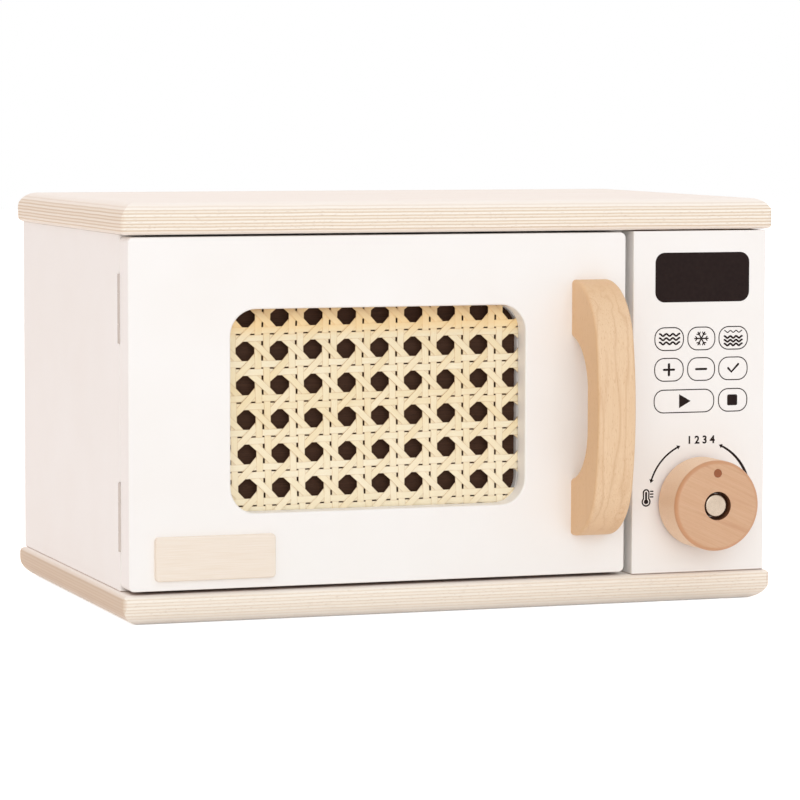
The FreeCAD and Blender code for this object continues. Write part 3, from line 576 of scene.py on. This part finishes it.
# First row: heat, defrost, and grill.
heat_step = 1.95
grill_step = 1.75
grill_drop = 1.35
grill_bar_rise = 3.0
flake_arm = 3.3
flake_fork = 2.05
flake_twig = 1.25
flake_lean = math.radians(48)
for step in (-1, 0, 1):
    heat_middle = (key_columns[0] + 0.2, key_rows[0] + heat_step * step)
    grill_middle = (key_columns[2], key_rows[0] - grill_drop + grill_step * step)
    waves(heat_middle, width=9.9, height=1.0, line=sign_line + 0.1)
    waves(grill_middle, width=8.8, height=0.9, line=sign_line + 0.15)
waves((key_columns[2], key_rows[0] + grill_bar_rise), width=8.7, height=0.85, line=key_line)
for turn in range(6):
    heading = math.radians(60 * turn)
    forward = Vector((math.cos(heading), math.sin(heading)))
    hub = Vector((key_columns[1], key_rows[0]))
    fork = hub + forward * flake_fork
    ink_line([hub, hub + forward * flake_arm], sign_line - 0.15)
    for lean in (-flake_lean, flake_lean):
        twig = Vector((math.cos(heading + lean), math.sin(heading + lean)))
        ink_line([fork, fork + twig * flake_twig], sign_line - 0.3)

# Second row: more, less, and a tick.
bar_reach = 2.5
for column, bars in ((key_columns[0], ((1, 0), (0, 1))), (key_columns[1], ((1, 0),))):
    for x, z in bars:
        ends = [(column + side * bar_reach * x, key_rows[1] + side * bar_reach * z) for side in (-1, 1)]
        ink_line(ends, bold_line)
tick = [(-2.4, 0.1), (-0.8, -1.6), (2.6, 1.9)]
ink_line([(key_columns[2] + x, key_rows[1] + z) for x, z in tick], bold_line)

# Third row: start and stop.
start_sign = [(110.85, 91.5), (116.7, 94.75), (110.85, 98.0)]
ink_patch(start_sign)
stop_middle = (137.85, 94.75)
ink_patch(rounded_box(stop_middle, width=5.1, height=5.1, corner=0.7, steps=4))

# The dial: numbers over the knob, two arcs with an arrowhead at each end, a thermometer and a clock.
knob_axis = Vector(next(j for j in frame["joints"] if j["name"] == "knob_turn")["pos_m"]) / MM
dial = (knob_axis.x + 0.55, knob_axis.z + 2.55)
dial_radius = 25.6
arrow_tip = 2.5
arrow_foot = 1.2
arrow_side = 1.1
for first, last, width, swell in ((115.0, 162.5, 0.95, 1.0), (65.0, 17.5, 1.05, 1.6)):
    ink_line(arc(dial, dial_radius, first, last, 14), width, swell=swell)
    for angle, other in ((first, last), (last, first)):
        onward = math.copysign(1, angle - other)
        tip = arc(dial, dial_radius, angle + arrow_tip * onward, angle, 1)[0]
        foot = [
            arc(dial, dial_radius + side, angle - arrow_foot * onward, angle, 1)[0]
            for side in (-arrow_side, arrow_side)
        ]
        ink_patch([tip] + foot)
numbers = bpy.data.curves.new("dial_numbers", "FONT")
numbers.body = "1 2 3 4"
numbers.align_x = "CENTER"
numbers.align_y = "CENTER"
numbers.size = 5.0 * MM
numbers.offset = 0.15 * MM
numbers.extrude = sign_line / 2 * MM
dial_numbers = bpy.data.objects.new("dial_numbers", numbers)
dial_numbers.location = (122.05 * MM, 0, 76.25 * MM)
dial_numbers.rotation_euler = (math.pi / 2, 0, 0)
as_print(dial_numbers)
stem = (94.55, 52.35)
bulb = (94.55, 48.1)
stem_radius = 1.4
bulb_radius = 1.95
fluid_radius = 1.1
mark_start = 96.8
mark_end = 97.9
outline = arc(stem, stem_radius, 0, 180, 8) + arc(bulb, bulb_radius, 132, 408, 18)
ink_line(outline, 0.8, closed=True)
ink_line([stem, bulb], 1.0)
ink_patch(arc(bulb, fluid_radius, 0, 342, 19))
for drop in (0.6, -0.7, -2.0):
    ink_line([(mark_start, stem[1] + drop), (mark_end, stem[1] + drop)], 0.75)
clock = (147.4, 50.05)
clock_radius = 2.2
ink_line(arc(clock, clock_radius, 0, 345, 23), 0.6, closed=True)
ink_line([(clock[0], clock[1] + 1.3), clock, (clock[0] + 0.9, clock[1] - 0.5)], 0.5)

control_print = joined(printed, "control_panel_print")
control_print.data.materials.clear()
control_print.data.materials.append(printing_ink)
control_print.scale.y = ink_share
control_print.location.y = panel_front
bpy.ops.object.transform_apply(location=True, rotation=True, scale=True)
bpy.ops.object.mode_set(mode="EDIT")
bpy.ops.mesh.select_all(action="SELECT")
bpy.ops.mesh.remove_doubles(threshold=0.002 * MM)
bpy.ops.mesh.normals_make_consistent(inside=False)
bpy.ops.object.mode_set(mode="OBJECT")
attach(control_print, "casing")

# Control knob, its pointer and its bolt
# A thick beech disc turned on a lathe, with a stained dot let into its face as a pointer.
# A nickel-plated bolt with a flat round head sits in its counterbore, and it turns on a felt washer.
# Painted shade: within this radius of the axis the knob is coloured dark brown for the shade in its
# counterbore.
bore_shade_radius = 6.65
knob_beech, tree, shader = new_finish("knob_beech")
place = in_millimetres(tree, knob_axis, (0, math.radians(-24), 0))
rings, fibres, flecks = wood(tree, place, ring=3.9, fibre=0.45, fleck=0.42)
streak = between(tree, fibres, 0.3, 0.72)
cloud = between(tree, drawn_out(tree, place, 5.0, 3, 3.0), 0.3, 0.7)
to_front = sum_of(tree, "ABSOLUTE", facing(tree)[1])
colour = blended(tree, streak, tone(216, 175, 140), tone(206, 162, 125))
colour = tinted(tree, colour, cloud, 0.4, tone(209, 161, 125))
colour = tinted(tree, colour, rings, 0.42, tone(188, 134, 97))
side_tone = blended(tree, streak, tone(245, 213, 181), tone(236, 201, 166))
colour = blended(tree, between(tree, to_front, 0.1, 0.35, 1.0, 0.0), colour, side_tone)
past_side = between(tree, to_front, 0.08, 0.4)
short_of_face = between(tree, to_front, 0.86, 0.98, 1.0, 0.0)
arris = sum_of(tree, "MULTIPLY", past_side, short_of_face)
colour = tinted(tree, colour, arris, 0.85, tone(201, 146, 105))
colour = tinted(tree, colour, flecks, 0.3, tone(192, 142, 106))
x, _, z = axes_of(tree, place)
off_axis = put(tree, "ShaderNodeCombineXYZ", {0: x, 1: 0.0, 2: z}).outputs[0]
radius = put(tree, "ShaderNodeVectorMath", {0: off_axis}, operation="LENGTH").outputs["Value"]
# Painted shade in the counterbore around the bolt's head.
colour = blended(tree, sum_of(tree, "LESS_THAN", radius, bore_shade_radius), colour, tone(112, 68, 40))
coated(tree, shader, colour, between(tree, fibres, 0.2, 0.8, 0.4, 0.56))
shader.inputs["Coat Weight"].default_value = 0.1
shader.inputs["Coat Roughness"].default_value = 0.25
ridged(tree, shader, fibres, 0.04)
dress(knob_beech, "control_knob")

brown_dot, tree, shader = new_finish("brown_stained_wood")
fibres = wood(tree, in_millimetres(tree), ring=2.0, fibre=0.3, fleck=0.3)["Fibres"]
colour = blended(tree, between(tree, fibres, 0.3, 0.7), tone(150, 84, 42), tone(136, 74, 36))
coated(tree, shader, colour, between(tree, fibres, 0.2, 0.8, 0.45, 0.6))
ridged(tree, shader, fibres, 0.03)
dress(brown_dot, "knob_pointer")

nickel, tree, shader = new_finish("polished_nickel")
place = in_millimetres(tree, knob_axis)
polish = drawn_out(tree, place, 0.5, 1, 3.0)
haze = between(tree, drawn_out(tree, place, 4.0, 1, 2.0), 0.3, 0.7)
colour = blended(tree, haze, tone(190, 175, 158), tone(178, 163, 146))
coated(tree, shader, colour, between(tree, polish, 0.3, 0.7, 0.24, 0.36))
shader.inputs["Metallic"].default_value = 1.0
dress(nickel, "knob_bolt")
dress(zinc_steel, "knob_spring_washer", "knob_back_washer", "knob_lock_nut")

felt, tree, shader = new_finish("wool_felt")
hair = drawn_out(tree, in_millimetres(tree), 0.25, 3, 4.0)
colour = blended(tree, between(tree, hair, 0.3, 0.7), tone(226, 221, 213), tone(200, 193, 184))
coated(tree, shader, colour, between(tree, hair, 0.2, 0.8, 0.85, 1.0))
shader.inputs["Sheen Weight"].default_value = 0.4
ridged(tree, shader, hair, 0.15)
dress(felt, "knob_felt_washer")

# Turntable
# A flat beech disc with a softened rim that spins on a screw in the oven's floor.
# A steel washer under it keeps it clear of the board, and the screw's round head lies in its recess.
turntable_beech = beech(
    "turntable_beech",
    (0, 0, math.radians(8)),
    pale=tone(234, 206, 172),
    deep=tone(222, 189, 152),
    ring_tone=tone(196, 154, 116),
    ring=9.0,
)
dress(turntable_beech, "turntable_plate")
dress(zinc_steel, "turntable_spacer", "turntable_screw")

# Door panel, magnet and strike
# A painted board with a round-cornered window and a rebate for the webbing behind it.
# A small steel strike let into its back meets a magnet in the partition and holds it shut.
# The door gets the brown painted shade only on its faces turned down.
door_paint = matt_white("door_white_paint", shaded_ends=False)
dress(door_paint, "door_panel")
dress(zinc_steel, "door_strike", "door_magnet")

# Cane webbing
# Strips of natural cane in the old six-way weave: upright and level pairs cross over and under each other,
# and two sets of slanting strips lock them, which leaves eight-sided gaps. It is stretched over the window.
cane_low, cane_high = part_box("cane_webbing")
pitch_across = 15.93
pitch_up = 15.38
first_gap = (cane_low.x / MM + 14.8, cane_low.z / MM + 16.1)
strip_thickness = 0.53
strip_crown = 0.10
upright_strip = 3.1
upright_offset = 0.1255
level_strip = 3.0
level_offset = 0.1175
slant_strip = 3.0
tone_step = 0.618
tone_turn = 0.05
slant_length = math.hypot(pitch_across, pitch_up)
slant_angle = math.atan2(pitch_up, pitch_across)
# Heights between which the cane is tinted with painted shade at its top, under the window's upper edge, and
# lightened with painted light toward its foot.
top_shade_start = cane_high.z / MM - 18.5
top_shade_end = cane_high.z / MM - 13.5
foot_light_start = cane_low.z / MM + 12.0
foot_light_end = cane_low.z / MM + 48.0


def cane(name, angle, pale, deep):
    """The skin of strips that run at an angle: fine fibres, brown edges that are partly the cut edge and
    partly painted shade, each strip its own tone.
    """
    material, tree, shader = new_finish(name)
    place = in_millimetres(tree, turn=(0, angle, 0))
    fibres = drawn_out(tree, place, 0.28, 40, 3.0)
    patch = between(tree, drawn_out(tree, place, 3.0, 5, 2.0), 0.3, 0.7)
    own = put(tree, "ShaderNodeAttribute", {}, attribute_name="strip_tone").outputs["Fac"]
    across = axes_of(tree, put(tree, "ShaderNodeTexCoord", {}).outputs["UV"])[1]
    to_edge = sum_of(tree, "ABSOLUTE", sum_of(tree, "SUBTRACT", across, 0.5))
    height = axes_of(tree, in_millimetres(tree))[2]
    colour = blended(tree, between(tree, fibres, 0.3, 0.7), pale, deep)
    colour = blended(tree, between(tree, own, 0.0, 0.5, 0.4, 0.0), colour, tone(235, 208, 152))
    colour = blended(tree, between(tree, own, 0.5, 1.0, 0.0, 0.35), colour, tone(251, 237, 208))
    colour = tinted(tree, colour, patch, 0.3, tone(249, 236, 206))
    # The brown along each strip's edges is partly the cut edge and partly painted shade where the strips
    # cross.
    colour = blended(tree, between(tree, to_edge, 0.42, 0.5, 0.0, 0.7), colour, tone(188, 142, 90))
    # Painted shade: a warm tan band at the top, under the window's upper edge.
    painted_top_shade = between(tree, height, top_shade_start, top_shade_end, 0.0, 0.65)
    colour = blended(tree, painted_top_shade, colour, tone(255, 219, 154))
    # Painted light: the lower rows are lightened toward the foot of the window.
    painted_foot_light = between(tree, height, foot_light_start, foot_light_end, 0.3, 0.0)
    colour = blended(tree, painted_foot_light, colour, tone(255, 246, 224))
    coated(tree, shader, colour, between(tree, fibres, 0.2, 0.8, 0.32, 0.5))
    ridged(tree, shader, fibres, 0.05)
    return material


def weave_strips(name, angle, length, width, levels, start, onward, repeat, sideways, rows, finish):
    """Strips side by side: one repeat is lifted to its levels, set in a row and the row set in rows."""
    steps = len(levels)
    bpy.ops.object.select_all(action="DESELECT")
    bpy.ops.mesh.primitive_grid_add(x_subdivisions=steps, y_subdivisions=2, size=1)
    strip = bpy.context.object
    strip.name = name
    for corner in strip.data.vertices:
        station = round((corner.co.x + 0.5) * steps) % steps
        edge = abs(corner.co.y) * 2
        corner.co.x *= length
        corner.co.y *= width
        corner.co.z = levels[station] * strip_thickness - strip_crown * edge * edge
    strip.scale = (MM,) * 3
    strip.rotation_euler = (math.pi / 2, -angle, 0)
    bpy.ops.object.transform_apply(location=True, rotation=True, scale=True)
    row = strip.modifiers.new("row", "ARRAY")
    row.use_relative_offset = False
    row.use_constant_offset = True
    row.constant_offset_displace = (onward[0] * MM, 0, onward[1] * MM)
    row.count = repeat
    row.use_merge_vertices = True
    row.merge_threshold = 0.01 * MM
    body = strip.modifiers.new("body", "SOLIDIFY")
    body.thickness = (strip_thickness - strip_crown) * MM
    body.offset = -1
    rows_on = strip.modifiers.new("rows", "ARRAY")
    rows_on.use_relative_offset = False
    rows_on.use_constant_offset = True
    rows_on.constant_offset_displace = (sideways[0] * MM, 0, sideways[1] * MM)
    rows_on.count = rows
    for step in ("row", "body", "rows"):
        bpy.ops.object.modifier_apply(modifier=step)
    own_tones = strip.data.attributes.new("strip_tone", "FLOAT", "FACE").data
    for number, own_tone in enumerate(own_tones):
        own_tone.value = (number * rows // len(own_tones) + 1) * (tone_step + angle * tone_turn) % 1
    middle = (cane_low.y + cane_high.y) / 2
    strip.location = (start[0] * MM, middle - strip_thickness / 2 * MM, start[1] * MM)
    bpy.ops.object.transform_apply(location=True, rotation=False, scale=False)
    strip.data.materials.append(finish)
    bpy.ops.object.shade_smooth_by_angle(angle=math.radians(50))
    return strip


pair_levels = [0, 0, 0, -0.5, 0, 0.5, 0, 0]
slant_levels = [-1, -1, -1, 0, 1, 1, 1, 1, 1, 0, -1, -1]
columns_of_cane = 12
rows_of_cane = 9
left, low = first_gap[0] - 1.5 * pitch_across, first_gap[1] - 1.5 * pitch_up
upright = cane("cane_upright", math.pi / 2, tone(247, 233, 198), tone(240, 221, 180))
level_cane = cane("cane_level", 0.0, tone(248, 237, 208), tone(242, 226, 187))
rising = cane("cane_rising", slant_angle, tone(246, 230, 193), tone(238, 217, 172))
falling = cane("cane_falling", -slant_angle, tone(247, 233, 198), tone(240, 221, 178))
strips = []
for side in (-1, 1):
    strips.append(
        weave_strips(
            "upright_strips",
            angle=math.pi / 2,
            length=pitch_up,
            width=upright_strip,
            levels=[-side * level for level in pair_levels],
            start=(left + side * upright_offset * pitch_across, low),
            onward=(0, pitch_up),
            repeat=rows_of_cane,
            sideways=(pitch_across, 0),
            rows=columns_of_cane,
            finish=upright,
        )
    )
    strips.append(
        weave_strips(
            "level_strips",
            angle=0.0,
            length=pitch_across,
            width=level_strip,
            levels=[side * level for level in pair_levels],
            start=(left, low + side * level_offset * pitch_up),
            onward=(pitch_across, 0),
            repeat=columns_of_cane,
            sideways=(0, pitch_up),
            rows=rows_of_cane,
            finish=level_cane,
        )
    )
slant_left = left - (rows_of_cane + 1) * pitch_across
for name, side, first_level, slant_finish in (
    ("falling_strips", -1, rows_of_cane + 0.5, falling),
    ("rising_strips", 1, -0.5, rising),
):
    strips.append(
        weave_strips(
            name,
            angle=side * slant_angle,
            length=slant_length,
            width=slant_strip,
            levels=[-side * level for level in slant_levels],
            start=(slant_left, low + first_level * pitch_up),
            onward=(pitch_across, side * pitch_up),
            repeat=rows_of_cane + 2,
            sideways=(pitch_across, 0),
            rows=columns_of_cane + rows_of_cane,
            finish=slant_finish,
        )
    )
cane_weave = joined(strips, "cane_weave")

# The weave is stretched a little out of square: shifts in millimetres at its corner gaps, and a slow sway.
pull = {(0, 0): (1.03, -1.0), (0, 1): (-0.1, -0.25), (1, 0): (0.77, 0.0), (1, 1): (0.32, 0.66)}
gaps_across = 7
gaps_up = 4
sway = 0.22
sway_length = 11
sway_seed = 1
noise.seed_set(sway_seed)
for corner in cane_weave.data.vertices:
    share_x = (corner.co.x / MM - first_gap[0]) / (gaps_across * pitch_across)
    share_z = (corner.co.z / MM - first_gap[1]) / (gaps_up * pitch_up)
    shift = noise.noise_vector(Vector((corner.co.x, 0, corner.co.z)) / (sway_length * MM)) * sway
    for (right, top), (x, z) in pull.items():
        weight = abs(1 - right - share_x) * abs(1 - top - share_z)
        shift += Vector((x, 0, z)) * weight
    corner.co.x += shift.x * MM
    corner.co.z += shift.z * MM

# What reaches past the rebate is cut off.
bpy.ops.object.mode_set(mode="EDIT")
for corner, outward in (
    (cane_low, (-1, 0, 0)),
    (cane_high, (1, 0, 0)),
    (cane_low, (0, 0, -1)),
    (cane_high, (0, 0, 1)),
):
    bpy.ops.mesh.select_all(action="SELECT")
    bpy.ops.mesh.bisect(plane_co=corner, plane_no=outward, use_fill=True, clear_outer=True)
bpy.ops.object.mode_set(mode="OBJECT")
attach(cane_weave, "door")
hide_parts("cane_webbing")

# Bead frame, dark board and its screws
# A painted bead pins the webbing into the door's rebate, and a thin dark-stained board closes the back.
# Six small screws hold the board, so that it comes off to change the webbing.
dress(door_paint, "window_bead_frame")
dark_stain, tree, shader = new_finish("dark_stained_board")
place = in_millimetres(tree)
_, fibres, flecks = wood(tree, place, ring=8.0, fibre=0.6, fleck=0.4)
colour = blended(tree, between(tree, fibres, 0.3, 0.7), tone(84, 58, 43), tone(74, 50, 38))
colour = tinted(tree, colour, flecks, 0.4, tone(54, 37, 29))
coated(tree, shader, colour, between(tree, fibres, 0.2, 0.8, 0.55, 0.7))
shader.inputs["Specular IOR Level"].default_value = 0.1
ridged(tree, shader, fibres, 0.05)
dress(dark_stain, "window_back_board")
set_copies(
    countersunk_screw(head=2.4, shank=1.2, length=10.0),
    "back_board_wood_screws",
    "back_board_screws",
    "door",
    level_axis=1,
    level=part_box("back_board_screws")[1].y,
    turn=head_back,
    reach=6,
)

# Door handle and its screws
# A bowed grip sawn from a beech board, its edges rounded over and its ends cut square.
# Two long screws come through the door from behind into its feet.
handle_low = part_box("door_handle")[0]
handle_beech = beech(
    "handle_beech",
    (math.pi / 2, 0, math.pi / 2),
    pale=tone(235, 204, 168),
    deep=tone(227, 192, 153),
    ring_tone=tone(198, 150, 106),
    ring=6.0,
    origin=(handle_low.x / MM, handle_low.y / MM, 0),
    # Painted shade on the sides of the grip.
    side_shade=tone(223, 181, 135),
)
dress(handle_beech, "door_handle")
set_copies(
    countersunk_screw(head=3.6, shank=1.9, length=32.0),
    "handle_wood_screws",
    "handle_screws",
    "door",
    level_axis=1,
    level=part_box("handle_screws")[1].y,
    turn=head_back,
    reach=9,
)

# Name plate
# A thin plate of pale wood with softened edges, glued to the lower corner of the door.
# Its face is bare.
plate_wood, tree, shader = new_finish("pale_wood")
place = in_millimetres(tree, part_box("name_plate")[0] / MM)
rings, fibres, _ = wood(tree, place, ring=4.5, fibre=0.4, fleck=0.35)
colour = blended(tree, between(tree, fibres, 0.3, 0.7), tone(244, 232, 219), tone(238, 223, 205))
colour = tinted(tree, colour, rings, 0.25, tone(234, 215, 194))
coated(tree, shader, colour, between(tree, fibres, 0.2, 0.8, 0.42, 0.58))
ridged(tree, shader, fibres, 0.03)
dress(plate_wood, "name_plate")

# Hinges
# Two small butt hinges of zinc-plated steel: each has two pressed leaves rolled round a pin.
# One leaf is screwed to the edge of the left side, the other to the back of the door.
hinge_steel, tree, shader = new_finish("pressed_hinge_steel")
rolling = drawn_out(tree, in_millimetres(tree, turn=grain_up), 0.15, 30, 2.0)
colour = blended(tree, rolling, tone(188, 178, 171), tone(172, 161, 153))
coated(tree, shader, colour, between(tree, rolling, 0.3, 0.7, 0.4, 0.5))
shader.inputs["Metallic"].default_value = 1.0
for which in ("upper", "lower"):
    dress(hinge_steel, f"{which}_hinge_side_leaf", f"{which}_hinge_door_leaf", f"{which}_hinge_pin")
for node, body, level, turn in (
    ("hinge_side_screws", "casing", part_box("hinge_side_screws")[0].y, head_front),
    ("hinge_door_screws", "door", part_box("hinge_door_screws")[1].y, head_back),
):
    screw = countersunk_screw(head=1.9, shank=1.0, length=9.0)
    name = node.replace("screws", "wood_screws")
    set_copies(screw, name, node, body, level_axis=1, level=level, turn=turn, reach=5)

# Studio
# A plain white floor that keeps the object's shadow, one broad cool lamp in front, above and to the left,
# and a sky that the camera sees white. It lights softly: warm from behind and the left, white from above.
paper_glow = 0.75
sky_front_left = (0.68, 0.585, 0.525, 1)
sky_front_right = (0.50, 0.505, 0.515, 1)
sky_back_left = (0.72, 0.575, 0.54, 1)
sky_back_right = (0.98, 0.78, 0.735, 1)
sky_above = (1.06, 1.06, 1.07, 1)
plain_white = (1, 1, 1, 1)
lamp_aim = Vector((0, 0, 0.1))


def seen_by_camera(tree):
    """1 on rays that show a surface to the camera, straight or in a gloss, and 0 on rays that light."""
    ray = put(tree, "ShaderNodeLightPath", {}).outputs
    shown = sum_of(tree, "MAXIMUM", ray["Is Camera Ray"], ray["Is Glossy Ray"])
    return sum_of(tree, "MAXIMUM", shown, ray["Is Transmission Ray"])


bpy.ops.object.select_all(action="DESELECT")
bpy.ops.mesh.primitive_plane_add(size=12, location=(0, 0, 0))
floor = bpy.context.object
floor.name = "studio_floor"
floor_paper, tree, shader = new_finish("studio_paper")
shader.inputs["Base Color"].default_value = (0.92, 0.90, 0.885, 1)
shader.inputs["Roughness"].default_value = 0.9
shader.inputs["Specular IOR Level"].default_value = 0.0
shader.inputs["Emission Color"].default_value = plain_white
glow = sum_of(tree, "MULTIPLY", seen_by_camera(tree), paper_glow)
tree.links.new(glow, shader.inputs["Emission Strength"])
floor.data.materials.append(floor_paper)

world = bpy.data.worlds.new("studio_sky")
bpy.context.scene.world = world
world.use_nodes = True
tree = world.node_tree
sky = tree.nodes["Background"]
x, y, z = axes_of(tree, put(tree, "ShaderNodeTexCoord", {}).outputs["Generated"])
front_sky = blended(tree, between(tree, x, -0.9, 0.1), sky_front_left, sky_front_right)
back_sky = blended(tree, between(tree, x, -0.6, 0.2), sky_back_left, sky_back_right)
sky_light = blended(tree, between(tree, y, -0.35, 0.35), front_sky, back_sky)
sky_light = blended(tree, between(tree, z, 0.3, 1.0), sky_light, sky_above)
tree.links.new(blended(tree, seen_by_camera(tree), sky_light, plain_white), sky.inputs["Color"])

lamp_data = bpy.data.lights.new("key_lamp", "AREA")
lamp_data.shape = "RECTANGLE"
lamp_data.size = 3.4
lamp_data.size_y = 1.7
lamp_data.energy = 36.8
lamp_data.color = (0.872, 0.955, 1.0)
lamp = bpy.data.objects.new("key_lamp", lamp_data)
lamp.location = (-0.55, -3.2, 1.3)
lamp.rotation_euler = (lamp_aim - lamp.location).to_track_quat("-Z", "Y").to_euler()
bpy.context.collection.objects.link(lamp)

# Camera
# A long lens at the photograph's place: left of the front and a little above the object.
camera_tilt = 4.59
camera_turn = 19.083
camera_roll = 0.108
camera_data = bpy.data.cameras.new("studio_camera")
camera_data.lens = 169.193
camera_data.sensor_width = 36.0
camera = bpy.data.objects.new("studio_camera", camera_data)
camera.location = (-0.58338, -1.70715, 0.23534)
aim = Euler((math.radians(90 - camera_tilt), 0, math.radians(-camera_turn))).to_matrix()
camera.rotation_euler = (aim @ Matrix.Rotation(math.radians(camera_roll), 3, "Z")).to_euler()
bpy.context.collection.objects.link(camera)
bpy.context.scene.camera = camera
bpy.context.scene.view_settings.view_transform = "Standard"
